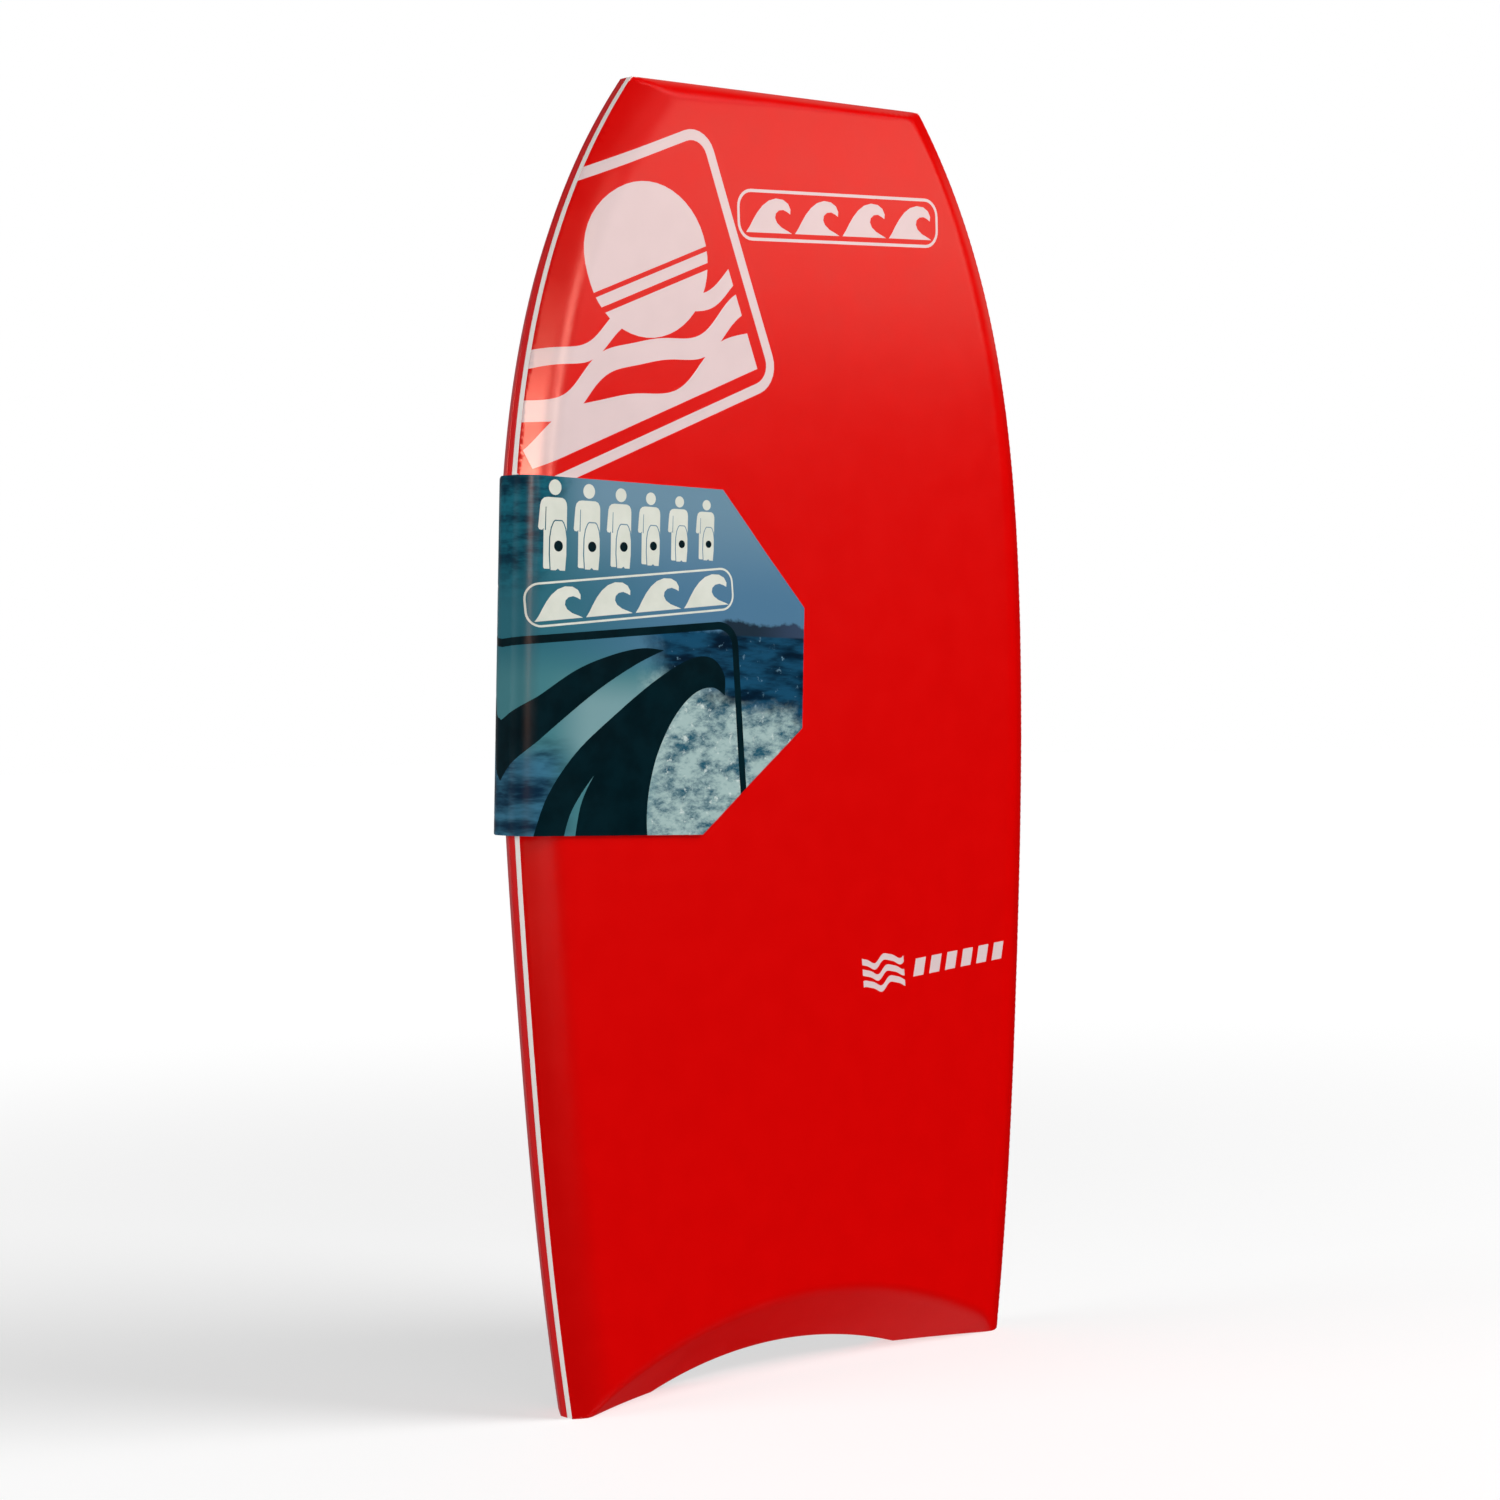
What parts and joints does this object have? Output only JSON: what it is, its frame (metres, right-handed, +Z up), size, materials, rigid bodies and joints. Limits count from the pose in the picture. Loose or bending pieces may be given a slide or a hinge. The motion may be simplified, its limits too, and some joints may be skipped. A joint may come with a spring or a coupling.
{
  "type": "bodyboard",
  "caption": "Foam bodyboard standing on its crescent tail: flat deck with bevelled chines, striped layered rails, slick bottom with channels, and a folded card display sleeve round one rail.",
  "frame": {"origin": "on the floor under the middle of the board, which stands on the two flat pegs of its tail", "axes": "+Z up from tail to nose, -Y out of the deck, +Y out of the slick, +X to the right seen from the deck"},
  "size_m": [0.5694, 0.0637, 1.067],
  "materials": {
    "core_foam": "closed-cell foam",
    "deck_foam": "satin foam skin",
    "slick_plastic": "smooth sheet",
    "pinline_foam": "smooth foam strip",
    "rail_foam": "smooth foam strip",
    "printed_card": "coated printed card"
  },
  "bodies": {
    "board": {"foam_core": "core_foam", "deck_skin": "deck_foam", "bottom_slick": "slick_plastic", "pinline_left": "pinline_foam", "pinline_right": "pinline_foam", "upper_rail_left": "rail_foam", "upper_rail_right": "rail_foam", "lower_rail_left": "rail_foam", "lower_rail_right": "rail_foam", "nose_strip": "rail_foam", "tail_strip": "rail_foam"},
    "sleeve": {"display_sleeve": "printed_card"}
  },
  "joints": [
    {"name": "sleeve_slide", "type": "slide", "parent": "board", "child": "sleeve", "axis": [-1, 0, 0], "range_m": [0, 0.33]}
  ]
}
